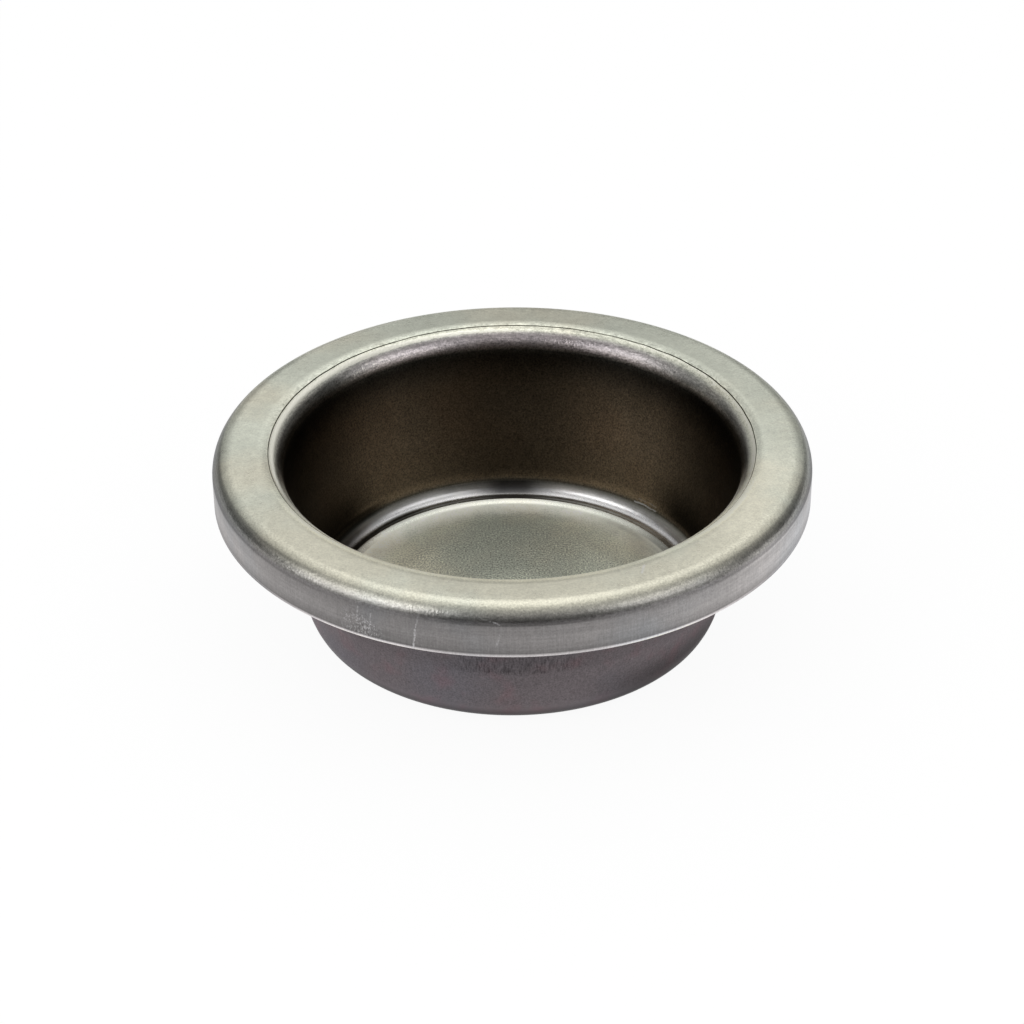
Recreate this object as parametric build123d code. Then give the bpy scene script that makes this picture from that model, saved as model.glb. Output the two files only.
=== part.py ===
from build123d import *
import os
from math import cos, radians, sin, tan

# Hub cap pressed from one round blank of steel sheet. The cup stands on its bottom with the mouth up, the
# flange turns down outside into a skirt, and the skirt is the press fit in the hub's bore.
# Millimetres and degrees. The origin is the centre of the bottom, and Z is the axis.

sheet = 1.2               # thickness of the steel
skirt_radius = 31.75      # outside of the skirt, which fits the bore of the hub
skirt_depth = 5.5         # from the flange's face down to the skirt's free edge
skirt_lead = 0.2          # chamfer outside the free edge, which leads the skirt into the bore
rim_bend = 2.1            # bend from flange to skirt, on the face
flange_flat = 2.6         # width of the flange between its two bends
mouth_bend = 2.8          # bend from flange to wall, on the face
wall_taper = 10.5         # lean of the cup's wall from the axis
cup_depth = 19.4          # from the flange's face down to the land at the foot of the wall
shoulder_bend = 3.5       # soft bend where the wall gives way to the shoulder, inside
shoulder_slope = 61       # lean of the shoulder from the bottom
shoulder_flat = 0.06      # straight stretch of the shoulder between its bends
corner_bend = 1.05        # bend from shoulder to land, inside
land_flat = 0.25          # flat of the land between the corner and the step
step_height = 0.5         # the middle of the bottom is pressed down by this much
step_slope = 50           # lean of the step's face
step_bend = 0.4           # rounding at the top and the foot of the step, on both sides
line_depth = 0.08         # sharp line that the pressing tool leaves round the mouth
line_place = 27           # where it lies on the mouth's bend, in degrees from the flat

wall_turn = 90 - wall_taper
face_height = cup_depth + step_height + sheet
edge_height = face_height - skirt_depth
land_height = sheet + step_height


def setback(bend, turn):
    """Distance from a corner to the point where its bend begins."""
    return bend * tan(radians(turn) / 2)


def mouth_radius():
    """Radius of the corner where the wall's slope would meet the plane of the flange."""
    return skirt_radius - setback(rim_bend, 90) - flange_flat - setback(mouth_bend, wall_turn)


def face_corners():
    """Corners of the sheet's upper face, from the skirt over the flange and down to the middle of the cup."""
    corner_setback = setback(corner_bend, shoulder_slope)
    shoulder_length = corner_setback + shoulder_flat + setback(shoulder_bend, wall_turn - shoulder_slope)
    shoulder_height = land_height + shoulder_length * sin(radians(shoulder_slope))
    shoulder = mouth_radius() - (face_height - shoulder_height) * tan(radians(wall_taper))
    corner = shoulder - shoulder_length * cos(radians(shoulder_slope))
    step_top = corner - corner_setback - land_flat - setback(step_bend, step_slope)
    step_foot = step_top - step_height / tan(radians(step_slope))
    return [
        Vector(skirt_radius, edge_height + skirt_lead),
        Vector(skirt_radius, face_height),
        Vector(mouth_radius(), face_height),
        Vector(shoulder, shoulder_height),
        Vector(corner, land_height),
        Vector(step_top, land_height),
        Vector(step_foot, sheet),
        Vector(0, sheet),
    ]


def through_sheet(before, corner, after):
    """The corner's mate on the underside, one sheet thickness from both runs that meet there."""
    run_in = (corner - before).normalized()
    run_out = (after - corner).normalized()
    normal_in = Vector(-run_in.Y, run_in.X)
    normal_out = Vector(-run_out.Y, run_out.X)
    return corner + (normal_in + normal_out) * (sheet / (1 + normal_in.dot(normal_out)))


def cap_section():
    """Half section of the sheet: the face outwards and inwards, then the underside back to the free edge."""
    face = face_corners()
    mates = [through_sheet(*face[i - 1 : i + 2]) for i in range(1, 5)]
    pressed = [point - Vector(0, sheet) for point in face[5:]]
    underside = [*reversed(pressed), *reversed(mates)]
    free_edge = [Vector(skirt_radius - sheet, edge_height), Vector(skirt_radius - skirt_lead, edge_height)]
    face_bends = [0, rim_bend, mouth_bend, shoulder_bend, corner_bend, step_bend, step_bend, 0]
    under_bends = [0, step_bend, step_bend, corner_bend + sheet, shoulder_bend + sheet,
                   mouth_bend - sheet, rim_bend - sheet]
    outline = FilletPolyline(
        *face, *underside, *free_edge, radius=[*face_bends, *under_bends, 0, 0], close=True
    )
    return Plane.XZ * make_face(outline)


def mouth_line():
    """Ring with its sharp edge inwards, which cuts the tool's line into the bend of the mouth."""
    bend_centre = Vector(mouth_radius() + setback(mouth_bend, wall_turn), face_height - mouth_bend)
    angle = radians(line_place)
    place = bend_centre + Vector(-sin(angle), cos(angle)) * mouth_bend
    cutter = RegularPolygon(line_depth, 4, rotation=line_place)
    return revolve(Plane.XZ * Pos(place.X, place.Y) * cutter, Axis.Z)


def hub_cap():
    """The whole cap: the section turned round the axis, less the line round the mouth."""
    return revolve(cap_section(), Axis.Z) - mouth_line()


os.makedirs("parts", exist_ok=True)
export_step(hub_cap(), "parts/hub_cap.step")
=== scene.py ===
from math import cos, pi, prod, radians, sin, sqrt, tau
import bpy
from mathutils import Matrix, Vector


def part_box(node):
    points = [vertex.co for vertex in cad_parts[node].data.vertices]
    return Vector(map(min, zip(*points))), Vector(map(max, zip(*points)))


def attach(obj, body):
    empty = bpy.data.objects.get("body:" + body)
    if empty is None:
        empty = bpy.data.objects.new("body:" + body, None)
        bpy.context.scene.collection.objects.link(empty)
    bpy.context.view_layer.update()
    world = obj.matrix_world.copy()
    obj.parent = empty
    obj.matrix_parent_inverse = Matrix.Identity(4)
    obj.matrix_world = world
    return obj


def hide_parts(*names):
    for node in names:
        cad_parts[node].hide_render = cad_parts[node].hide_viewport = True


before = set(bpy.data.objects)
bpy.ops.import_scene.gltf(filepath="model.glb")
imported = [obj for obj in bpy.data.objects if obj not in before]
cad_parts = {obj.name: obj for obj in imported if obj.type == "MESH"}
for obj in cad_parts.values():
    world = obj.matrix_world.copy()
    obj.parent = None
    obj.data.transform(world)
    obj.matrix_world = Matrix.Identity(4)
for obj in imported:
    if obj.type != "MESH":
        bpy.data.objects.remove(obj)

from types import SimpleNamespace

import bmesh
import bpy
from bpy.props import FloatProperty, FloatVectorProperty, IntProperty, PointerProperty
from mathutils import Matrix, Vector, noise

bl_info = {
    "name": "Pressed hub cap",
    "version": (1, 0, 0),
    "blender": (4, 5, 0),
    "location": "View3D > Sidebar > Hub cap",
    "description": "Presses a hub cap from sheet steel, gives it its finish and lights it",
    "category": "Object",
}

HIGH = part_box("hub_cap")[1]
MM = 0.001


# Sizes of the sheet

def length(name, description, default):
    """A setting in metres."""
    return FloatProperty(name=name, description=description, default=default, subtype="DISTANCE")


def angle(name, description, degrees):
    """A setting in degrees, which is kept in radians."""
    return FloatProperty(name=name, description=description, default=radians(degrees), subtype="ANGLE")


def colour(name, description, default):
    """A setting for the colour of bare steel."""
    return FloatVectorProperty(
        name=name, description=description, default=default, subtype="COLOR", size=3
    )


class CapSizes(bpy.types.PropertyGroup):
    """Sizes of the pressed sheet."""

    skirt_radius: length("Skirt radius", "Outside of the skirt", HIGH.x)
    height: length("Height", "From the bottom to the flange's face", HIGH.z)
    sheet: length("Sheet", "Thickness of the steel", 1.2 * MM)
    skirt_depth: length("Skirt depth", "Flange's face to free edge", 5.5 * MM)
    skirt_lead: length("Skirt lead", "Chamfer at the free edge", 0.2 * MM)
    rim_bend: length("Rim bend", "Bend from flange to skirt", 2.1 * MM)
    flange_flat: length("Flange flat", "Flange between its bends", 2.6 * MM)
    mouth_bend: length("Mouth bend", "Bend from flange to wall", 2.8 * MM)
    wall_taper: angle("Wall taper", "Lean of the wall from the axis", 10.5)
    cup_depth: length("Cup depth", "Flange's face down to the land", 19.36 * MM)
    shoulder_bend: length("Shoulder bend", "Bend from wall to shoulder", 3.5 * MM)
    shoulder_slope: angle("Shoulder slope", "Lean from the bottom", 61)
    shoulder_flat: length("Shoulder flat", "Straight of the shoulder", 0.06 * MM)
    corner_bend: length("Corner bend", "Bend from shoulder to land", 1.25 * MM)
    land_flat: length("Land flat", "Flat of the land", 0.22 * MM)
    step_height: length("Step height", "Middle of the bottom pressed down", 0.54 * MM)
    step_slope: angle("Step slope", "Lean of the step", 36)
    step_bend: length("Step bend", "Rounding of the step", 0.4 * MM)
    foot_lean: angle("Foot lean", "Lean where the step runs out softly", 34)
    foot_bend: length("Foot bend", "Soft bend at the foot of the step", 2.2 * MM)
    dish_lean: angle("Dish lean", "Lean where the bottom's dish begins", 18)
    dish_bend: length("Dish bend", "Curve of the dish round the bottom", 3.0 * MM)
    line_width: length("Line width", "Tool's line round the mouth", 0.16 * MM)
    line_place: angle("Line place", "Where it lies on the mouth's bend", 27)
    line_wander: angle("Line wander", "How far the line strays along the bend", 1.6)
    line_lean: angle("Line lean", "How far the line lies off its place at the back", 7.5)
    turn_steps: IntProperty(name="Steps round", description="Facets round the axis", default=288, min=24)


class CapStations:
    """Lengths and distances along the sheet that follow from its sizes."""

    PLACES = (
        "lead", "rim", "flange", "mouth", "line", "wall", "wall_length", "shoulder", "corner", "land",
        "step", "foot", "bowl", "floor",
    )

    def __init__(self, sizes):
        self.wall_turn = pi / 2 - sizes.wall_taper
        self.shoulder_turn = self.wall_turn - sizes.shoulder_slope
        self.edge_height = sizes.height - sizes.skirt_depth
        drop = sizes.mouth_bend * (1 - cos(self.wall_turn))
        drop += sizes.shoulder_bend * (cos(sizes.shoulder_slope) - cos(self.wall_turn))
        drop += sizes.shoulder_flat * sin(sizes.shoulder_slope)
        drop += sizes.corner_bend * (1 - cos(sizes.shoulder_slope))
        self.wall_length = (sizes.cup_depth - drop) / sin(self.wall_turn)
        fall = sizes.step_height - sizes.step_bend * (1 - cos(sizes.step_slope))
        fall -= sizes.step_bend * (cos(sizes.foot_lean) - cos(sizes.step_slope))
        fall -= sizes.foot_bend * (cos(sizes.dish_lean) - cos(sizes.foot_lean))
        fall -= sizes.dish_bend * (1 - cos(sizes.dish_lean))
        self.step_length = fall / sin(sizes.step_slope)

        self.lead = sizes.skirt_lead
        self.rim = sizes.skirt_depth - sizes.rim_bend
        self.flange = self.rim + sizes.rim_bend * pi / 2
        self.mouth = self.flange + sizes.flange_flat
        self.line = self.mouth + sizes.mouth_bend * sizes.line_place
        self.wall = self.mouth + sizes.mouth_bend * self.wall_turn
        self.shoulder = self.wall + self.wall_length
        self.corner = self.shoulder + sizes.shoulder_bend * self.shoulder_turn + sizes.shoulder_flat
        self.land = self.corner + sizes.corner_bend * sizes.shoulder_slope
        self.step = self.land + sizes.land_flat
        step_turns = 2 * sizes.step_slope - sizes.foot_lean
        self.foot = self.step + self.step_length + sizes.step_bend * step_turns
        self.bowl = self.foot + sizes.foot_bend * (sizes.foot_lean - sizes.dish_lean)
        self.floor = self.bowl + sizes.dish_bend * sizes.dish_lean

    def in_millimetres(self):
        """The distances along the sheet in the finish's unit."""
        return SimpleNamespace(**{place: getattr(self, place) / MM for place in self.PLACES})


# Mesh of the cap

class SheetPen:
    """Draws one face of the sheet as a chain of edges in the XZ plane, heading for the axis."""

    FACET = radians(6)
    END = 0.02 * MM
    BOTTOM_RINGS = 6

    def __init__(self, mesh, start, heading, under):
        self.mesh = mesh
        self.layers = mesh.verts.layers.float
        self.tip = start
        self.heading = heading
        self.under = under
        self.along = 0.0

    def label(self, vert, along, line=0):
        """Notes on a vertex where it lies along the sheet, on which face, and how deep in the line."""
        vert[self.layers["along"]] = along
        vert[self.layers["line"]] = line
        vert[self.layers["under"]] = self.under

    def stroke(self, length, travel):
        """One straight edge."""
        made = bmesh.ops.extrude_vert_indiv(self.mesh, verts=[self.tip])
        self.tip = made["verts"][0]
        run = Vector((cos(self.heading), 0, sin(self.heading))) * length
        bmesh.ops.translate(self.mesh, verts=[self.tip], vec=run)
        self.along += travel
        self.label(self.tip, self.along)

    def run(self, length, cuts=1):
        """A straight stretch, with a short edge at each end that keeps its shading flat."""
        end = min(self.END, length / 4)
        self.stroke(end, end)
        for _ in range(cuts):
            self.stroke((length - 2 * end) / cuts, (length - 2 * end) / cuts)
        self.stroke(end, end)

    def bend(self, radius, turn, nominal):
        """A round stretch. The distance along the sheet is counted on the bend's nominal radius."""
        side = 1 if turn > 0 else -1
        centre = self.tip.co + Vector((-sin(self.heading), 0, cos(self.heading))) * radius * side
        steps = max(3, round(abs(turn) / self.FACET))
        known = set(self.mesh.verts)
        made = bmesh.ops.spin(
            self.mesh, geom=[self.tip], cent=centre, axis=(0, -1, 0), angle=turn, steps=steps
        )
        drawn = [vert for vert in self.mesh.verts if vert not in known]
        for count, vert in enumerate(drawn, 1):
            self.label(vert, self.along + nominal * abs(turn) * count / steps)
        self.tip = [item for item in made["geom_last"] if isinstance(item, bmesh.types.BMVert)][0]
        self.along += nominal * abs(turn)
        self.heading += turn

    def notch(self, radius, width):
        """A sharp line across a bend of that radius."""
        turn = width / radius
        chord = self.heading + turn / 2
        self.label(self.tip, self.along, line=0.5)
        for side, depth in ((1, 1), (-1, 0.5)):
            self.heading = chord + side * pi / 4
            self.stroke(width / sqrt(2), width / 2)
            self.label(self.tip, self.along, line=depth)
        self.heading = chord + turn / 2

    def axis(self):
        """The last straight stretch, in to the axis."""
        self.stroke(self.END, self.END)
        ring = self.tip.co.x / self.BOTTOM_RINGS
        for _ in range(self.BOTTOM_RINGS):
            self.stroke(ring, ring)


def draw_sheet_face(pen, sizes, stations, depth, notched):
    """From the skirt's free edge to the axis, at a depth below the sheet's upper face."""
    straight_skirt = stations.rim - pen.along
    pen.run(straight_skirt, cuts=3)
    pen.bend(sizes.rim_bend - depth, pi / 2, sizes.rim_bend)
    pen.run(sizes.flange_flat, cuts=2)
    if notched:
        half_line = sizes.line_width / sizes.mouth_bend / 2
        pen.bend(sizes.mouth_bend, sizes.line_place - half_line, sizes.mouth_bend)
        pen.notch(sizes.mouth_bend, sizes.line_width)
        pen.bend(sizes.mouth_bend, stations.wall_turn - sizes.line_place - half_line, sizes.mouth_bend)
    else:
        pen.bend(sizes.mouth_bend - depth, stations.wall_turn, sizes.mouth_bend)
    pen.run(stations.wall_length, cuts=8)
    pen.bend(sizes.shoulder_bend + depth, -stations.shoulder_turn, sizes.shoulder_bend)
    pen.stroke(sizes.shoulder_flat, sizes.shoulder_flat)
    pen.bend(sizes.corner_bend + depth, -sizes.shoulder_slope, sizes.corner_bend)
    pen.stroke(sizes.land_flat, sizes.land_flat)
    pen.bend(sizes.step_bend, sizes.step_slope, sizes.step_bend)
    pen.stroke(stations.step_length, stations.step_length)
    pen.bend(sizes.step_bend, sizes.foot_lean - sizes.step_slope, sizes.step_bend)
    pen.bend(sizes.foot_bend, sizes.dish_lean - sizes.foot_lean, sizes.foot_bend)
    pen.bend(sizes.dish_bend, -sizes.dish_lean, sizes.dish_bend)
    pen.axis()


def press_mesh(sizes):
    """The cap as a closed mesh: both faces of the sheet, joined at the free edge and spun round the axis."""
    weld_distance, sharp_angle = 0.0001 * MM, radians(25)
    stations = CapStations(sizes)
    mesh = bmesh.new()
    for name in ("along", "line", "under"):
        mesh.verts.layers.float.new(name)
    inner_edge = mesh.verts.new((sizes.skirt_radius - sizes.sheet, 0, stations.edge_height))

    underside = SheetPen(mesh, inner_edge, pi / 2, under=1)
    draw_sheet_face(underside, sizes, stations, sizes.sheet, notched=False)
    face = SheetPen(mesh, inner_edge, 0, under=0)
    face.stroke(sizes.sheet - sizes.skirt_lead, 0)
    face.heading = pi / 4
    face.stroke(sizes.skirt_lead * sqrt(2), sizes.skirt_lead)
    face.heading = pi / 2
    draw_sheet_face(face, sizes, stations, 0, notched=True)

    bmesh.ops.spin(
        mesh, geom=mesh.verts[:] + mesh.edges[:], cent=(0, 0, 0), axis=(0, 0, 1), angle=tau,
        steps=sizes.turn_steps, use_merge=True,
    )
    bmesh.ops.remove_doubles(mesh, verts=mesh.verts, dist=weld_distance)
    bmesh.ops.recalc_face_normals(mesh, faces=mesh.faces)
    for edge in mesh.edges:
        edge.smooth = edge.calc_face_angle() < sharp_angle
    for facet in mesh.faces:
        facet.smooth = True
    return mesh


def stray_line(mesh, sizes):
    """Lets the line round the mouth lean and stray along its bend, as a tool's line does."""
    slow_waves, quick_waves, front_lean, still = 2.5, 11, 0.35, 0.001
    layers = mesh.verts.layers.float
    stations = CapStations(sizes)
    ring_radius = sizes.skirt_radius - sizes.rim_bend - sizes.flange_flat
    ring_height = sizes.height - sizes.mouth_bend
    for vert in mesh.verts:
        turn = (vert[layers["along"]] - stations.mouth) / sizes.mouth_bend
        before = turn / sizes.line_place
        after = (stations.wall_turn - turn) / (stations.wall_turn - sizes.line_place)
        share = min(before, after)
        if vert[layers["under"]] or share < still:
            continue
        outward = Vector((vert.co.x, vert.co.y, 0)).normalized()
        centre = outward * ring_radius + Vector((0, 0, ring_height))
        slow = noise.noise(outward * slow_waves)
        quick = noise.noise(outward * quick_waves)
        back = max(0, outward.y)
        stray = sizes.line_wander * (0.6 * slow + (0.3 + 0.7 * back) * quick)
        swing = share * (stray - sizes.line_lean * max(-front_lean, outward.y))
        turned = Matrix.Rotation(swing, 3, outward.cross(Vector((0, 0, 1))))
        vert.co = centre + turned @ (vert.co - centre)


# Shader nodes as sums

class Signal:
    """A shader socket that adds Math nodes when Python does sums with it."""

    def __init__(self, finish, socket):
        self.finish = finish
        self.socket = socket

    def math(self, operation, *values):
        names = ("Value", "Value_001", "Value_002")
        return self.finish.node("ShaderNodeMath", {"operation": operation}, dict(zip(names, values)))

    def __add__(self, other):
        return self.math("ADD", self, other)

    __radd__ = __add__

    def __sub__(self, other):
        return self.math("SUBTRACT", self, other)

    def __rsub__(self, other):
        return self.math("SUBTRACT", other, self)

    def __mul__(self, other):
        return self.math("MULTIPLY", self, other)

    __rmul__ = __mul__

    def __truediv__(self, other):
        return self.math("DIVIDE", self, other)

    def __pow__(self, other):
        return self.math("POWER", self, other)

    def __neg__(self):
        return self * -1

    def __abs__(self):
        return self.math("ABSOLUTE", self)

    def at_least(self, limit):
        return self.math("MAXIMUM", self, limit)

    def at_most(self, limit):
        return self.math("MINIMUM", self, limit)

    def rise(self, start, end):
        """0 before start, 1 past end, and a soft slope between."""
        return self.finish.node(
            "ShaderNodeMapRange",
            {"interpolation_type": "SMOOTHSTEP"},
            {"Value": self, "From Min": start, "From Max": end},
        )

    def band(self, start, end, soft):
        """1 between start and end, fading over a soft distance on both sides."""
        return self.rise(start - soft, start + soft) * (1 - self.rise(end - soft, end + soft))


class Finish:
    """A node tree under construction."""

    def __init__(self, tree):
        self.tree = tree
        self.tree.nodes.clear()

    def node(self, kind, settings=None, inputs=None, output=0):
        """Adds a node: its settings, then the values or links of its sockets, and gives one output."""
        made = self.tree.nodes.new(kind)
        for name, value in (settings or {}).items():
            if name == "stops":
                self.set_stops(made.color_ramp, value)
            else:
                setattr(made, name, value)
        for key, value in (inputs or {}).items():
            socket = next(item for item in made.inputs if key in (item.identifier, item.name))
            if isinstance(value, Signal):
                self.tree.links.new(value.socket, socket)
            else:
                socket.default_value = value
        return Signal(self, made.outputs[output]) if made.outputs else made

    def set_stops(self, ramp, stops):
        """Gives a colour ramp its places, each with a colour or a grey."""
        while len(ramp.elements) < len(stops):
            ramp.elements.new(1.0)
        for element, (place, tone) in zip(ramp.elements, stops):
            element.position = place
            element.color = (*tone, 1) if isinstance(tone, tuple) else (tone, tone, tone, 1)

    def ramp(self, share, stops):
        return self.node("ShaderNodeValToRGB", {"stops": stops}, {"Fac": share})

    def attribute(self, name):
        return self.node("ShaderNodeAttribute", {"attribute_name": name}, output=2)

    def vector(self, operation, *values, **named):
        names = ("Vector", "Vector_001", "Vector_002")
        inputs = dict(zip(names, values)) | named
        output = 1 if operation in ("LENGTH", "DISTANCE", "DOT_PRODUCT") else 0
        return self.node("ShaderNodeVectorMath", {"operation": operation}, inputs, output)

    def mix(self, first, second, share):
        """Blends two colours."""
        first, second = (
            item if isinstance(item, Signal) else (*item, 1) for item in (first, second)
        )
        return self.node(
            "ShaderNodeMix",
            {"data_type": "RGBA"},
            {"Factor_Float": share, "A_Color": first, "B_Color": second},
            output=2,
        )

    def tint(self, tone, tint, share):
        """Gives a colour a tint where share is 1."""
        return self.mix(tone, self.vector("MULTIPLY", tone, tint), share)

    def noise(self, place, scale, detail=2.0, roughness=0.5):
        return self.node(
            "ShaderNodeTexNoise",
            {"noise_dimensions": "3D"},
            {"Vector": place, "Scale": scale, "Detail": detail, "Roughness": roughness},
        )


def new_material(name):
    """A material with an empty node tree, and the finish that fills it."""
    material = bpy.data.materials.new(name)
    material.use_nodes = True
    return material, Finish(material.node_tree)


# Finish of the steel

class CapLook(bpy.types.PropertyGroup):
    """Colours and grain of the steel."""

    # Partly painted light: the skirt, body and wall are set darker than the flange as painted shade over the
    # steel's own finish, and the corner is set bright as a painted highlight over burnished steel.
    flange_tone: colour("Flange", "Steel of the flange", (0.6, 0.6, 0.515))
    skirt_tone: colour("Skirt", "Steel of the skirt", (0.228, 0.224, 0.23))
    wall_tone: colour("Wall", "Drawn steel inside the cup", (0.18, 0.134, 0.092))
    corner_tone: colour("Corner", "Burnished corner at the wall's foot", (0.6, 0.58, 0.58))
    floor_tone: colour("Bottom", "Matt steel of the bottom", (0.615, 0.62, 0.528))
    body_tone: colour("Body", "Drawn steel outside the cup", (0.127, 0.114, 0.125))
    grain: FloatProperty(
        name="Grain", description="Height of the grain, in millimetres", default=0.016, min=0
    )
    grain_tone: FloatProperty(
        name="Grain's tone", description="How much lighter and darker the grain is", default=0.9, min=0
    )


STEP_SHADE = (0.3, 0.29, 0.265)
RUBBED_STEEL = (0.72, 0.71, 0.72)
BRIGHTEST_RIM = (0.98, 0.965, 0.85)
BRIGHTEST_BOTTOM = (1, 0.99, 0.97)
COOL_TINT = (0.97, 1.0, 1.0)
WARM_TINT = (1.03, 1.0, 0.96)
VIOLET_TINT = (1.05, 0.97, 1.07)
BLUSH_TINT = (1.12, 0.94, 0.96)

# Scratches of the rim: both ends by turn from the front and height, then width and strength
RIM_SCRATCHES = (
    ((-16.7, 20.3), (-17.0, 19.5), 0.12, 0.35),
    ((-17.0, 19.5), (-17.5, 18.0), 0.12, 0.35),
    ((-17.5, 18.0), (-18.0, 15.9), 0.15, 0.55),
    ((-5.8, 20.05), (-4.0, 19.8), 0.1, 0.5),
    ((-4.0, 19.8), (-2.35, 19.5), 0.11, 0.6),
    ((-2.5, 18.3), (-2.9, 17.2), 0.16, 0.22),
    ((-28.6, 19.2), (-28.9, 17.4), 0.1, 0.25),
    ((-26.0, 18.8), (-26.4, 16.0), 0.14, 0.3),
    ((-27.4, 18.0), (-25.2, 17.3), 0.09, 0.2),
)

# Scratches of the cup's corner and the flange: both end points, then width and strength
CUP_SCRATCHES = (
    ((13.99, 16.24, 3.36), (15.16, 15.16, 3.36), 0.14, 0.85),
    ((15.16, 15.16, 3.36), (16.3, 13.92, 3.36), 0.14, 0.7),
    ((14.47, 15.93, 3.85), (16.31, 14.05, 3.85), 0.13, 0.2),
    ((12.87, -23.9, 21.1), (12.6, -25.25, 21.1), 0.17, 0.5),
)

# Scuffed patches of the rim: turn from the front, height and reach
RIM_SCUFFS = ((-29.4, 17.3, 2.3), (-26.3, 16.6, 1.9))


def dimmed(tone, share):
    """A colour at a share of its strength."""
    return tuple(part * share for part in tone)


class SheetPlace:
    """Where a point of the steel lies, in millimetres: in the part's own frame and along the sheet."""

    def __init__(self, finish, sizes):
        self.finish = finish
        self.sizes = sizes
        self.run = CapStations(sizes).in_millimetres()
        self.reach = self.run.floor + sizes.skirt_radius / MM
        metres = finish.node("ShaderNodeTexCoord", output=3)
        self.point = finish.vector("SCALE", metres, Scale=1 / MM)
        split = finish.node("ShaderNodeSeparateXYZ", None, {"Vector": self.point}).socket.node
        x, y = (Signal(finish, split.outputs[name]) for name in ("X", "Y"))
        radius = (x * x + y * y) ** 0.5
        self.side = x / (sizes.skirt_radius / MM)
        self.left = -self.side
        self.aside = abs(self.side)
        self.turn = x / radius
        self.front = -y / radius
        self.behind = -self.front
        self.along = finish.attribute("along") / MM
        self.line = finish.attribute("line")
        self.under = finish.attribute("under")
        self.upper = 1 - self.under

        shake = finish.node(
            "ShaderNodeTexNoise", None, {"Vector": self.point, "Scale": 1.3, "Detail": 2.0}, output=1
        )
        self.crook = finish.vector("SCALE", finish.vector("SUBTRACT", shake, (0.5, 0.5, 0.5)), Scale=0.3)

    def ramp(self, stops):
        """A value or tone that changes along the sheet; each stop has its distance from the free edge."""
        placed = [(distance / self.reach, tone) for distance, tone in stops]
        return self.finish.ramp(self.along / self.reach, placed)

    def stretch(self, across, up):
        """The point drawn out for a streaky noise."""
        return self.finish.vector("MULTIPLY", self.point, (across, across, up))

    def scratch(self, start, end, width):
        """1 on a fine line between two points of the surface, and 0 away from it."""
        run = Vector(end) - Vector(start)
        offset = self.finish.vector("SUBTRACT", self.point, start)
        offset = self.finish.vector("ADD", offset, self.crook)
        share = self.finish.vector("DOT_PRODUCT", offset, run / run.length_squared)
        foot = self.finish.vector("SCALE", run, Scale=share.at_least(0).at_most(1))
        return 1 - self.finish.vector("DISTANCE", offset, foot).rise(width * 0.3, width)

    def patch(self, centre, reach):
        """1 round a point of the surface, fading to 0 at its reach."""
        return 1 - self.finish.vector("DISTANCE", self.point, centre).rise(reach * 0.3, reach)

    def rim_point(self, turn, height):
        """A point of the skirt or the bend above it, by its turn to the right of the front."""
        bend = self.sizes.rim_bend / MM
        above = max(0, height - self.sizes.height / MM + bend)
        radius = self.sizes.skirt_radius / MM - bend + sqrt(bend * bend - above * above)
        return (radius * sin(radians(turn)), -radius * cos(radians(turn)), height)


class SheetTexture:
    """The noises that make the steel uneven. Each swings about a half."""

    def __init__(self, at):
        noise_of = at.finish.noise
        self.grain = noise_of(at.point, 5.0, detail=3, roughness=0.65)
        self.coarse = noise_of(at.point, 3.6, detail=1)
        self.mottle = noise_of(at.point, 0.9, detail=4, roughness=0.6)
        self.smudge = noise_of(at.point, 0.14, detail=3)
        self.draws = noise_of(at.stretch(6.0, 0.3), 1.0, detail=2, roughness=0.6)
        self.glints = noise_of(at.stretch(1.4, 6.0), 1.0, detail=2, roughness=0.6)
        self.rings = noise_of(at.stretch(0.1, 3.2), 1.0, detail=4, roughness=0.65)
        self.flecks = noise_of(at.stretch(6.0, 3.5), 1.0, detail=2, roughness=0.7)


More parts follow.
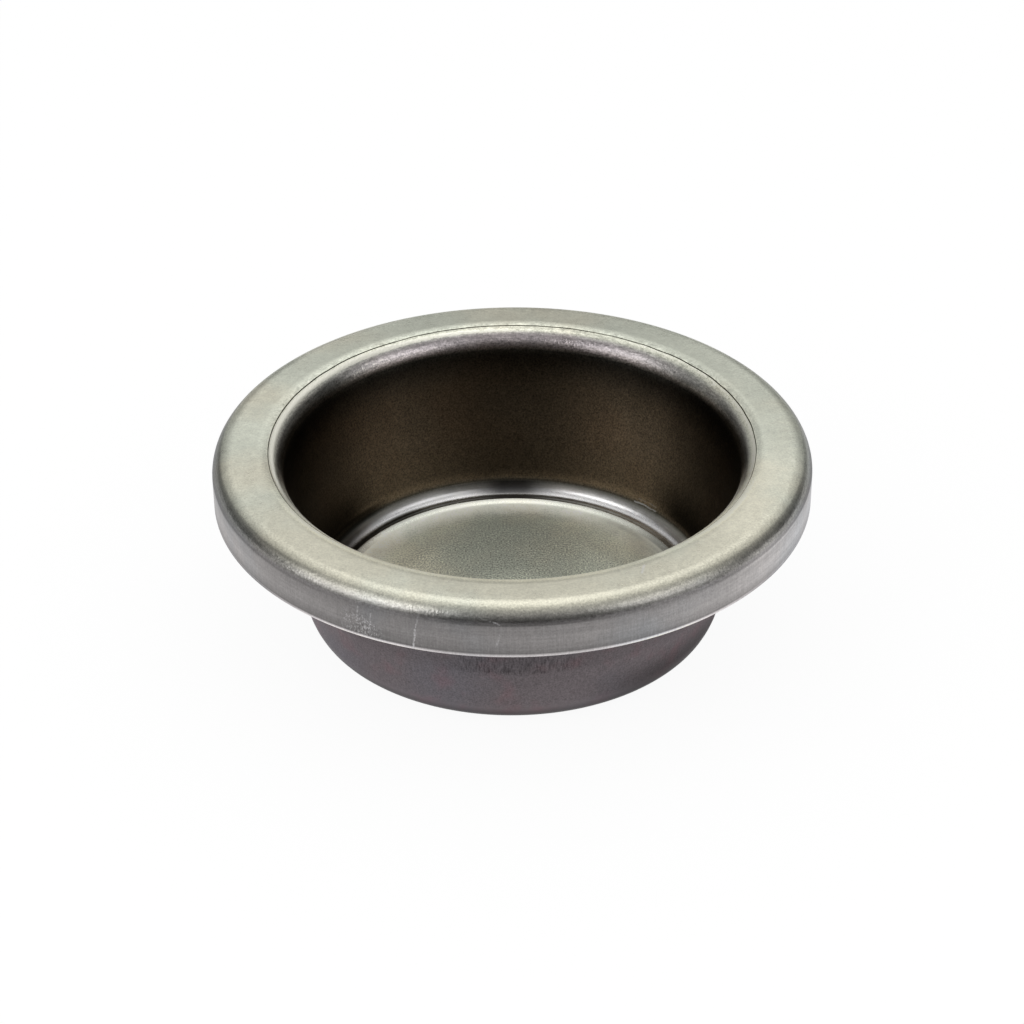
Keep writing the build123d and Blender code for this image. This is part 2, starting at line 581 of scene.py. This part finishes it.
def sheet_tone(at, look):
    """Tone of the bare steel along the sheet, partly as the press left it, with painted highlights and
    painted shade in bands along its bends and a painted shadow at the outside foot.
    """
    run = at.run
    flange, skirt, wall = tuple(look.flange_tone), tuple(look.skirt_tone), tuple(look.wall_tone)
    corner, bottom, body = tuple(look.corner_tone), tuple(look.floor_tone), tuple(look.body_tone)
    face = at.ramp([
        # Painted highlight on the free edge and its chamfer, over bare cut steel, and painted shade on the
        # skirt just above it.
        (0, (0.82, 0.8, 0.84)),
        (run.lead, (0.76, 0.74, 0.78)),
        (run.lead + 0.25, dimmed(skirt, 0.65)),
        (run.lead + 0.6, dimmed(skirt, 0.9)),
        (run.rim * 0.6, dimmed(skirt, 1.1)),
        # Painted shade: the rim's bend darkens in a band low on the bend where it mirrors a dark horizon, and
        # lightens up to the flange.
        (run.rim + 0.1, dimmed(skirt, 0.95)),
        (run.rim + 0.5, dimmed(skirt, 0.75)),
        (run.rim + 0.75, dimmed(skirt, 1.2)),
        (run.rim + 0.95, (0.36, 0.36, 0.35)),
        (run.rim + 1.2, (0.51, 0.51, 0.495)),
        (run.rim + 2.2, dimmed(flange, 0.95)),
        (run.mouth, flange),
        (run.line - 0.2, flange),
        # Painted highlight on the mouth's bend past the line, over burnished steel, with painted shade in the
        # band after it.
        (run.line, (0.82, 0.8, 0.68)),
        (run.line + 0.45, (0.97, 0.95, 0.8)),
        (run.line + 0.65, (0.87, 0.85, 0.72)),
        (run.line + 0.85, (0.58, 0.57, 0.51)),
        (run.line + 1.1, (0.49, 0.47, 0.43)),
        (run.line + 1.5, (0.74, 0.71, 0.66)),
        # Painted shade: the mouth darkens to near black where the wall begins, over the wall's own dark drawn
        # tone, and the wall lightens again towards its foot.
        (run.wall - 0.7, (0.5, 0.47, 0.42)),
        (run.wall - 0.35, (0.28, 0.25, 0.22)),
        (run.wall, (0.066, 0.062, 0.056)),
        (run.wall + 1.0, (0.085, 0.07, 0.055)),
        (run.wall + 0.25 * run.wall_length, dimmed(wall, 0.95)),
        (run.wall + 0.6 * run.wall_length, dimmed(wall, 1.3)),
        (run.shoulder - 1.2, dimmed(wall, 1.2)),
        (run.shoulder - 0.3, dimmed(wall, 2.0)),
        (run.shoulder + 0.3, (0.17, 0.15, 0.125)),
        # Painted highlight: the corner's bright band, over burnished steel.
        (run.corner - 0.4, dimmed(corner, 1.62)),
        (run.corner + 0.6, dimmed(corner, 1.65)),
        (run.land - 0.2, STEP_SHADE),
        (run.step + 0.05, STEP_SHADE),
    ])
    # Painted light: a bright ring round the foot of the step, where light off the corner falls on the bottom,
    # then lighter and darker rings out to the middle.
    floor = at.ramp([
        (run.step + 0.05, STEP_SHADE),
        (run.step + 0.3, (0.97, 0.95, 0.85)),
        (run.bowl, (0.99, 0.975, 0.86)),
        (run.floor, (0.97, 0.955, 0.84)),
        (run.floor + 0.7, (0.92, 0.91, 0.8)),
        (run.floor + 1.9, dimmed(bottom, 1.35)),
        (run.floor + 3.7, dimmed(bottom, 1.15)),
        (run.floor + 6.7, dimmed(bottom, 0.95)),
        (run.floor + 11.7, dimmed(bottom, 0.9)),
        (run.floor + 14.7, dimmed(bottom, 1.15)),
        (run.floor + 15.7, dimmed(bottom, 1.4)),
    ])
    outside = at.ramp([
        (0, skirt),
        (run.flange, dimmed(body, 0.9)),
        (run.wall + 0.5 * run.wall_length, body),
        (run.shoulder + 0.5, body),
        # Painted shadow: the outside darkens at the corner and land, where the cap meets the floor.
        (run.corner, dimmed(body, 0.6)),
        (run.land, dimmed(body, 0.3)),
        (run.floor, dimmed(body, 1.2)),
    ])
    upper = at.finish.mix(face, floor, at.along.rise(run.step + 0.04, run.step + 0.05))
    return at.finish.mix(upper, outside, at.under)


def sheet_blur(at):
    """Roughness of the steel along the sheet."""
    run = at.run
    return at.ramp([
        (0, 0.4),
        (run.rim, 0.4),
        (run.rim + 0.63, 0.34),
        (run.flange, 0.3),
        (run.wall - 1.0, 0.3),
        (run.wall + 1.0, 0.35),
        (run.wall + 0.3 * run.wall_length, 0.52),
        (run.wall + 0.6 * run.wall_length, 0.6),
        (run.shoulder, 0.52),
        (run.corner, 0.36),
        (run.corner + 0.5, 0.26),
        (run.land, 0.22),
        (run.step + 0.2, 0.24),
        (run.foot, 0.25),
        (run.bowl - 0.2, 0.28),
        (run.bowl, 0.36),
        (run.bowl + 0.25, 0.58),
        (run.floor, 0.68),
        (run.floor + 3, 0.6),
    ])


def sheet_grain(at):
    """How strongly the grain shows along the sheet."""
    run = at.run
    return at.ramp([
        (0, 0.7),
        (run.rim, 0.8),
        (run.rim + 1, 1.9),
        (run.rim + 2.4, 1.2),
        (run.flange + 0.5, 0.8),
        (run.mouth, 0.6),
        (run.line + 1, 1.4),
        (run.wall, 3.2),
        (run.shoulder, 3.0),
        (run.corner - 0.5, 0.35),
        (run.foot, 0.2),
        (run.floor, 0.9),
        (run.floor + 6, 3.6),
    ])


def sheet_matt(at):
    """How matt the steel is, where it lost its polish: past the foot of the step, and left in the mouth."""
    run = at.run
    foot = at.ramp([
        (run.bowl - 0.3, 0.0),
        (run.bowl - 0.05, 0.7),
        (run.floor - 0.6, 0.55),
        (run.floor - 0.1, 0.4),
        (run.floor + 0.5, 0.15),
        (run.floor + 1.2, 0.0),
    ])
    foot = foot * (1 - at.side.rise(0.2, 0.42)) * (1 - at.left.rise(0.4, 0.5))
    mouth = at.along.band(run.line + 0.15, run.line + 0.63, 0.18)
    mouth = mouth * (-at.turn).rise(0.6, 0.9) * at.behind.rise(-0.45, -0.2)
    return at.upper * (foot + 0.42 * mouth)


# Painted light and shade round the cap, and the wear of handling

def skirt_light_and_shade(at):
    """Painted light and shade: how the skirt and the rim above it lighten and darken round the cap with the
    light that falls on them.
    """
    rim, side, left, aside = at.run.rim, at.side, at.left, at.aside
    zone = at.along.band
    edge = 1 - at.along.rise(0.3, 0.5)
    skirt = zone(0.3, rim + 0.3, 0.2)
    ridge = zone(rim + 0.2, rim + 1.3, 0.2)
    low_rim_band = zone(rim + 0.3, rim + 0.9, 0.1)
    mid_rim_band = zone(rim + 0.75, rim + 1.3, 0.1)
    crest = zone(rim + 0.95, rim + 1.75, 0.15)
    high_rim_band = zone(rim + 1.15, rim + 2.05, 0.2)
    # Painted highlight on the crest of the rim's bend, in lighter and darker bands round the left.
    crest_light = 0.45 * left.band(0.62, 0.78, 0.06) - 0.17 * left.band(0.42, 0.58, 0.06)
    crest_light = crest_light + 0.2 * left.band(0.16, 0.34, 0.06)
    return prod((
        1 + skirt * (0.38 * side + 2.0 * aside ** 4),
        1 + edge * (0.3 * aside.band(0.3, 0.6, 0.1) - 0.61 * aside.rise(0.6, 0.85)),
        1 - low_rim_band * (0.35 * (1 - aside.rise(0.1, 0.4)) - 0.2 * side.band(0.4, 0.7, 0.1)),
        1 - 0.3 * mid_rim_band * aside.rise(0.78, 0.88),
        1 + 0.6 * ridge * side.band(0.72, 0.93, 0.08),
        1 + crest_light * crest,
        1 - 0.38 * high_rim_band * aside.rise(0.35, 0.8) * (1 - 0.25 * side.rise(0.9, 1)),
        1 - 0.25 * high_rim_band * left.rise(0.92, 0.99),
    ))


def flange_light_and_shade(at):
    """Painted light and shade: how the flange and the bend of the mouth lighten and darken round the cap with
    the light that falls on them.
    """
    run, side, front, right, left = at.run, at.side, at.front, at.turn, -at.turn
    zone, off_middle = at.along.band, abs(at.turn)
    ahead, behind = front.rise(0.05, 0.3), 1 - front.rise(-0.1, 0.2)
    flange = zone(run.rim + 1.2, run.wall, 0.5)
    back_rim = zone(run.flange - 1.1, run.flange - 0.15, 0.1)
    brow = zone(run.flange - 0.4, run.flange + 0.5, 0.2)
    inner = at.along.rise(run.flange, run.mouth + 0.5)
    lip = zone(run.line - 0.8, run.line, 0.3)
    line = zone(run.line - 0.05, run.line + 0.4, 0.08)
    near_line = zone(run.line - 0.05, run.line + 0.12, 0.08) * front.rise(0.1, 0.25)
    past_line = zone(run.line + 0.3, run.line + 0.75, 0.1)
    second = zone(run.line + 1.15, run.wall - 0.2, 0.25)
    edge = zone(run.wall - 0.5, run.wall + 0.4, 0.2)
    shade = 0.65 * right.rise(0.88, 0.97) + 0.68 * left.rise(0.68, 0.84)
    shade = shade + 0.43 * right.band(0.25, 0.74, 0.1)
    return prod((
        1 + flange * (0.46 * side * side + 0.13 * side.rise(0.45, 0.75) * (1 - 1.5 * behind)),
        1 + flange * (0.12 * front.rise(0.6, 1) - 0.1 * inner * front.rise(0.4, 1)),
        1 + 0.08 * brow * front.rise(0.9, 0.99),
        1 + lip * (0.48 * front.rise(0.2, 0.6) - 0.17 * behind * right.rise(0.3, 0.6)),
        1 + back_rim * (1 - front.rise(-0.75, -0.55)) * (0.35 + 0.15 * left.rise(0, 0.3)),
        1 + past_line * (0.45 * left.rise(-0.15, 0.3) - 0.2 * right.rise(0.1, 0.5)),
        1 - 0.3 * line * behind * (1 - off_middle.rise(0.3, 0.6)),
        1 - 0.15 * line * front.rise(0.3, 0.7),
        1 - near_line * (0.5 * left.rise(0.62, 0.75) + 0.3 * right.rise(0.62, 0.75)),
        1 + 0.6 * edge * behind * off_middle.band(0.5, 0.8, 0.08),
        1 - second * shade * (1 - ahead),
        1 + 0.5 * second * ahead,
    ))


def cup_light_and_shade(at):
    """Painted light and shade: how the cup's wall, corner, land and bottom lighten and darken round the cap
    with the light that reaches them.
    """
    run, side, left, aside = at.run, at.side, at.left, at.aside
    zone, past = at.along.band, at.along.rise
    wall = zone(run.wall + 0.2, run.shoulder, 0.5)
    wall_foot = zone(run.shoulder - 0.56, run.shoulder + 0.64, 0.3)
    shoulder = zone(run.shoulder + 0.14, run.corner - 0.25, 0.15)
    corner = zone(run.shoulder + 0.3, run.land - 0.1, 0.25)
    corner_top = zone(run.corner - 0.75, run.corner, 0.1)
    corner_foot = zone(run.corner + 0.7, run.land - 0.08, 0.1)
    land = zone(run.land - 0.3, run.step + 0.1, 0.1)
    ring = zone(run.step + 0.1, run.bowl - 0.1, 0.1)
    foot = zone(run.step + 0.4, run.floor - 0.4, 0.3)
    floor_rim = zone(run.floor - 0.49, run.floor + 3.11, 0.4)
    floor_middle = zone(run.floor + 4.91, run.floor + 9.61, 0.8)
    floor = past(run.floor, run.floor + 3)
    across = at.front * at.front
    # Painted reflection and shade: the wall lightens in patches round the cap where it mirrors the lights,
    # and darkens low on the wall at the sides.
    patches = at.finish.ramp(
        across, [(0.0, 0.2), (0.2, 0.42), (0.5, 1.0), (0.7, 1.0), (0.9, 0.62), (1.0, 0.4)]
    )
    low = past(run.shoulder - 5.76, run.shoulder - 0.76) * (1 - across.rise(0.25, 0.5))
    middle = 1 - aside.rise(0.03, 0.2)
    return prod((
        1 - wall * (1 - patches * (1 - 0.8 * low)),
        1 - corner * middle * (0.88 - 0.6 * past(run.corner + 0.6, run.corner + 1.1)),
        1 - corner * 0.84 * (1 - side.rise(-0.6, -0.44)),
        1 - 0.8 * wall_foot * left.rise(0.42, 0.52),
        1 - 0.4 * corner_top * left.band(0.12, 0.26, 0.05),
        1 - 0.25 * shoulder,
        1 - 0.6 * corner_foot * left.band(0.34, 0.48, 0.05),
        1 - 0.22 * floor_rim * side.rise(0.38, 0.46),
        1 + 0.15 * floor_middle * aside.rise(0.18, 0.3),
        1 + land * (1.2 * side.rise(0.15, 0.4) - 0.5 * left.rise(0.25, 0.4)),
        1 - 0.3 * foot * side.rise(0.25, 0.45),
        1 - ring * (0.45 * side.rise(0.42, 0.52) + 0.3 * left.rise(0.45, 0.53)),
        1 - floor * 0.1 * (1 - aside.rise(0.02, 0.3)),
    ))


def light_and_shade_by_side(at):
    """Painted light and shade round the cap: some sides are painted lighter and others darker, as the light
    falls on them.
    """
    run = at.run
    face = skirt_light_and_shade(at) * flange_light_and_shade(at) * cup_light_and_shade(at)
    body = at.along.rise(run.wall, run.wall + 2)
    # Painted shadow: the lower right of the body darkens where it stands in shade.
    low_right = at.side.rise(0.15, 0.5) * at.along.rise(run.shoulder - 3.96, run.shoulder + 0.04)
    under = 1 + body * (0.12 + 0.5 * at.aside + 0.3 * at.left.rise(0.5, 0.66) - 0.78 * low_right)
    return face + at.under * (under - face)


def scuffed_patch(at):
    """Where something hard scuffed the skirt."""
    first, second = (at.patch(at.rim_point(turn, height), reach) for turn, height, reach in RIM_SCUFFS)
    return first + second


def wear(at, flecks):
    """Light scuffs and scratches, where the bare metal shows through the finish."""
    marks = scuffed_patch(at) * flecks.rise(0.5, 0.7) * 0.34
    broken = 0.2 + 0.8 * flecks.rise(0.42, 0.6)
    for start, end, width, strength in RIM_SCRATCHES:
        line = at.scratch(at.rim_point(*start), at.rim_point(*end), width)
        marks = marks + line * broken * strength
    for start, end, width, strength in CUP_SCRATCHES:
        marks = marks + at.scratch(start, end, width) * strength
    return marks.at_most(1)


def steel_light(at, look, texture, skirt, strength):
    """How far the steel is lighter or darker than its tone: by painted light and shade round the sides,
    grain, draw marks, painted glints, a painted shadow of the skirt, and the line.
    """
    run = at.run
    grain, mottle, smudge, draws, glints, rings = (
        getattr(texture, name) - 0.5 for name in ("grain", "mottle", "smudge", "draws", "glints", "rings")
    )
    mouth = at.upper * at.along.band(run.line - 0.6, run.wall - 0.4, 0.3) * at.behind.rise(-0.2, 0.5)
    # Painted shadow of the skirt on the body below it, with a ragged lower border, streaked by draw marks.
    border = run.shoulder - 4.56 + 0.9 * draws + 0.8 * mottle
    drawn = at.under * (1 - at.along.rise(border - 0.35, border + 0.35))
    fade = 0.35 + 0.65 * (1 - at.along.rise(run.shoulder - 4.76, run.shoulder - 0.76))
    return prod((
        light_and_shade_by_side(at),
        1 + look.grain_tone * strength * grain,
        1 + 0.3 * mottle + 0.3 * smudge,
        1 + skirt * (0.5 * rings + 0.35 * draws),
        1 - 0.25 * scuffed_patch(at) * (1 - texture.flecks.rise(0.34, 0.46)),
        # Painted glints: grainy sparkle on the mouth's bend at the back.
        1 + 1.4 * mouth * glints,
        # Painted shadow of the skirt, streaked by draw marks.
        1 - drawn * (1 - 0.6 * at.aside.rise(0.1, 0.3)) * (0.22 + 1.8 * draws),
        1 + at.under * fade * 0.6 * draws,
        1 - (0.8 - 0.5 * at.behind.rise(0.82, 0.94)) * at.line.rise(0.5, 0.85),
    ))


def steel_tone(at, look, light, marks):
    """Colour of the steel: its tone in that light, warmer and cooler in places, and bare where it is worn."""
    finish, run = at.finish, at.run
    tone = finish.vector("SCALE", sheet_tone(at, look), Scale=light)
    warmth = (finish.noise(at.point, 0.08, detail=4) + 0.08 * at.front).rise(0.36, 0.64)
    cool, warm = (finish.vector("MULTIPLY", tone, tint) for tint in (COOL_TINT, WARM_TINT))
    tone = finish.mix(cool, warm, warmth)
    violet = at.upper * at.along.band(run.line + 0.8, run.wall - 0.2, 0.3) * at.behind.rise(0.5, 0.95)
    tone = finish.tint(tone, VIOLET_TINT, violet)
    blush = at.under * finish.noise(at.point, 0.3, detail=3).rise(0.48, 0.75)
    tone = finish.tint(tone, BLUSH_TINT, blush)
    brightest = finish.mix(BRIGHTEST_RIM, BRIGHTEST_BOTTOM, at.along.rise(run.wall, run.shoulder))
    tone = finish.vector("MINIMUM", tone, brightest)
    return finish.mix(tone, RUBBED_STEEL, marks)


def steel_roughness(at, texture, marks):
    """Roughness of the steel: its blur along the sheet, uneven in places, and rougher on the near lip."""
    mottle, smudge = texture.mottle - 0.5, texture.smudge - 0.5
    near_lip = at.along.band(at.run.line - 1.0, at.run.wall - 0.4, 0.3) * at.front.rise(0.1, 0.6)
    return sheet_blur(at) + 0.14 * mottle + 0.1 * smudge + 0.15 * marks + 0.3 * near_lip * at.upper


def steel_finish(sizes, look):
    """The steel: its tone changes along the sheet, partly as the press left it and partly as painted
    highlights and painted shade, with grain, draw marks and wear.
    """
    highest_grain = 1.3
    material, finish = new_material("pressed_steel")
    at = SheetPlace(finish, sizes)
    texture = SheetTexture(at)
    skirt = (1 - at.along.rise(at.run.rim, at.run.rim + 1)) * at.upper
    strength = sheet_grain(at) * (1 - 0.55 * at.under)
    marks = wear(at, texture.flecks)
    light = steel_light(at, look, texture, skirt, strength)

    height = strength.at_most(highest_grain) * (texture.coarse + 0.5 * texture.mottle)
    height = height + skirt * 0.2 * (texture.rings + texture.draws)
    bump = finish.node("ShaderNodeBump", None, {"Height": height, "Distance": look.grain * MM})
    shader = finish.node("ShaderNodeBsdfPrincipled", None, {
        "Base Color": steel_tone(at, look, light, marks),
        "Metallic": 1 - sheet_matt(at),
        "Roughness": steel_roughness(at, texture, marks),
        "Normal": bump,
        "Specular Tint": (0.6, 0.6, 0.6, 1),
    })
    finish.node("ShaderNodeOutputMaterial", None, {"Surface": shader})
    return material


class HUBCAP_OT_press(bpy.types.Operator):
    """Press the cap from the sheet and give it its steel finish"""

    bl_idname = "hub_cap.press"
    bl_label = "Press the cap"

    def execute(self, context):
        sizes = context.scene.hub_cap_sizes
        mesh = press_mesh(sizes)
        stray_line(mesh, sizes)
        data = bpy.data.meshes.new("pressed_cap")
        mesh.to_mesh(data)
        mesh.free()
        cap = bpy.data.objects.new("pressed_cap", data)
        context.scene.collection.objects.link(cap)
        data.materials.append(steel_finish(sizes, context.scene.hub_cap_look))
        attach(cap, "root")
        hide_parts("hub_cap")
        return {"FINISHED"}


# Stage

class StudioSetting(bpy.types.PropertyGroup):
    """The camera's place and the light."""

    elevation: angle("Elevation", "Camera's height above the horizon", 32.38)
    distance: length("Distance", "Camera to the point it looks at", 288.6 * MM)
    roll: angle("Roll", "Camera's turn about its own view", 0.45)
    aim_side: length("Aim across", "Point looked at, across", -0.064 * MM)
    aim_height: length("Aim height", "Point looked at, above the floor", 12.28 * MM)
    lens: FloatProperty(name="Lens", description="Focal length in millimetres", default=94.29)
    floor_radius: length("Floor's radius", "Round sheet of white paper", 4)
    tent_radius: length("Tent's radius", "Round cloth that the steel mirrors", 1)
    tent_peak: angle("Tent's brightest place", "Its height above the horizon, at the back", 68)
    tent_pinch: FloatProperty(
        name="Tent's pinch", description="How much faster the tent dims to the sides", default=0.45
    )
    side_turn: angle("Side lights' turn", "From the front, to each side", 58)
    side_height: angle("Side lights' height", "Above the horizon", 30)
    side_distance: length("Side lights' distance", "From the cap", 0.5)
    side_width: length("Side lights' width", "Across", 0.34)
    side_length: length("Side lights' length", "Up and down", 0.3)
    left_glow: FloatProperty(
        name="Left light's glow", description="Brightness, where 1 is white", default=1.76
    )
    right_glow: FloatProperty(
        name="Right light's glow", description="Brightness, where 1 is white", default=0.88
    )


def stage_piece(context, name, material, shape, **sizes):
    """A plain piece of the stage, made by one of the mesh operators."""
    mesh = bmesh.new()
    shape(mesh, **sizes)
    data = bpy.data.meshes.new(name)
    mesh.to_mesh(data)
    mesh.free()
    data.materials.append(material)
    piece = bpy.data.objects.new(name, data)
    context.scene.collection.objects.link(piece)
    return piece


def paper_finish():
    """White paper that keeps the cap's shadow and shows white to the camera and in the steel."""
    material, finish = new_material("white_paper")
    path = finish.node("ShaderNodeLightPath").socket.node
    camera, glossy, through = (
        Signal(finish, path.outputs[name])
        for name in ("Is Camera Ray", "Is Glossy Ray", "Is Transmission Ray")
    )
    white_share = 0.93 * camera.at_least(glossy.at_least(through))
    paper = finish.node("ShaderNodeBsdfDiffuse", None, {"Color": (0.92, 0.92, 0.92, 1)})
    white = finish.node("ShaderNodeEmission", None, {"Color": (1, 1, 1, 1), "Strength": 1.0})
    shader = finish.node(
        "ShaderNodeMixShader", None, {"Fac": white_share, "Shader": paper, "Shader_001": white}
    )
    finish.node("ShaderNodeOutputMaterial", None, {"Surface": shader})
    return material


def tent_finish(studio):
    """Cloth of the light tent: brightest high at the back and dim towards the horizon."""
    material, finish = new_material("tent_cloth")
    way = finish.vector("NORMALIZE", finish.node("ShaderNodeTexCoord", output=3))
    peak = (0, cos(studio.tent_peak), sin(studio.tent_peak))
    across = finish.node("ShaderNodeSeparateXYZ", None, {"Vector": way})
    nearness = finish.vector("DOT_PRODUCT", way, peak) - studio.tent_pinch * across * across
    glow = finish.ramp(nearness, [
        (0.0, 0.07), (0.03, 0.08), (0.14, 0.15), (0.31, 0.26), (0.47, 0.36), (0.62, 0.47),
        (0.72, 0.55), (0.80, 0.69), (0.85, 0.80), (0.90, 1.0), (0.95, 1.2), (1.0, 1.7),
    ])
    cloth = finish.node("ShaderNodeEmission", None, {"Color": glow, "Strength": 1.0})
    finish.node("ShaderNodeOutputMaterial", None, {"Surface": cloth})
    return material


def side_light(scene, name, side, studio, glow):
    """A soft light that faces the cap from one side, as bright as glow, where 1 is white."""
    light = bpy.data.lights.new(name, "AREA")
    light.shape = "RECTANGLE"
    light.size = studio.side_width
    light.size_y = studio.side_length
    light.energy = glow * pi * studio.side_width * studio.side_length
    lamp = bpy.data.objects.new(name, light)
    scene.collection.objects.link(lamp)
    level = cos(studio.side_height)
    way = Vector((
        side * sin(studio.side_turn) * level,
        -cos(studio.side_turn) * level,
        sin(studio.side_height),
    ))
    lamp.location = way * studio.side_distance
    lamp.rotation_euler = way.to_track_quat("Z", "Y").to_euler()


def set_up_camera(scene, studio):
    """The camera looks at the cap from the front and above."""
    lens = bpy.data.cameras.new("camera")
    lens.lens = studio.lens
    lens.sensor_width = 36
    lens.clip_start = 0.01
    camera = bpy.data.objects.new("camera", lens)
    scene.collection.objects.link(camera)
    back = Vector((0, -cos(studio.elevation), sin(studio.elevation)))
    camera.location = Vector((studio.aim_side, 0, studio.aim_height)) + back * studio.distance
    tilt = Matrix.Rotation(pi / 2 - studio.elevation, 4, "X")
    camera.rotation_euler = (tilt @ Matrix.Rotation(-studio.roll, 4, "Z")).to_euler()
    scene.camera = camera


class HUBCAP_OT_set_stage(bpy.types.Operator):
    """Lay the floor, hang the light and set up the camera"""

    bl_idname = "hub_cap.set_stage"
    bl_label = "Set the stage"

    def execute(self, context):
        studio = context.scene.hub_cap_studio
        scene = context.scene
        scene.view_settings.view_transform = "Standard"

        stage_piece(
            context, "floor", paper_finish(), bmesh.ops.create_circle,
            cap_ends=True, segments=64, radius=studio.floor_radius,
        )
        tent = stage_piece(
            context, "light_tent", tent_finish(studio), bmesh.ops.create_uvsphere,
            u_segments=64, v_segments=32, radius=studio.tent_radius,
        )
        for name in ("visible_camera", "visible_diffuse", "visible_transmission", "visible_shadow"):
            setattr(tent, name, False)

        world = bpy.data.worlds.new("white_room")
        world.use_nodes = True
        room = Finish(world.node_tree)
        white = room.node("ShaderNodeBackground", None, {"Color": (1, 1, 1, 1), "Strength": 1.0})
        room.node("ShaderNodeOutputWorld", None, {"Surface": white})
        scene.world = world

        side_light(scene, "left_light", -1, studio, studio.left_glow)
        side_light(scene, "right_light", 1, studio, studio.right_glow)
        set_up_camera(scene, studio)
        return {"FINISHED"}


# Panel and registration

class HUBCAP_PT_sidebar(bpy.types.Panel):
    """Lists the cap's sizes, its finish and its steps"""

    bl_idname = "HUBCAP_PT_sidebar"
    bl_label = "Hub cap"
    bl_space_type = "VIEW_3D"
    bl_region_type = "UI"
    bl_category = "Hub cap"

    def draw(self, context):
        scene = context.scene
        for operator in OPERATORS:
            self.layout.operator(operator.bl_idname)
        for group in (scene.hub_cap_sizes, scene.hub_cap_look, scene.hub_cap_studio):
            box = self.layout.box()
            for name in group.__annotations__:
                box.prop(group, name)


OPERATORS = (HUBCAP_OT_press, HUBCAP_OT_set_stage)
CLASSES = (CapSizes, CapLook, StudioSetting, *OPERATORS, HUBCAP_PT_sidebar)


def register():
    for item in CLASSES:
        bpy.utils.register_class(item)
    bpy.types.Scene.hub_cap_sizes = PointerProperty(type=CapSizes)
    bpy.types.Scene.hub_cap_look = PointerProperty(type=CapLook)
    bpy.types.Scene.hub_cap_studio = PointerProperty(type=StudioSetting)


def unregister():
    del bpy.types.Scene.hub_cap_sizes
    del bpy.types.Scene.hub_cap_look
    del bpy.types.Scene.hub_cap_studio
    for item in reversed(CLASSES):
        bpy.utils.unregister_class(item)


def main():
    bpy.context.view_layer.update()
    register()
    bpy.ops.hub_cap.press()
    bpy.ops.hub_cap.set_stage()


if __name__ == "__main__":
    main()
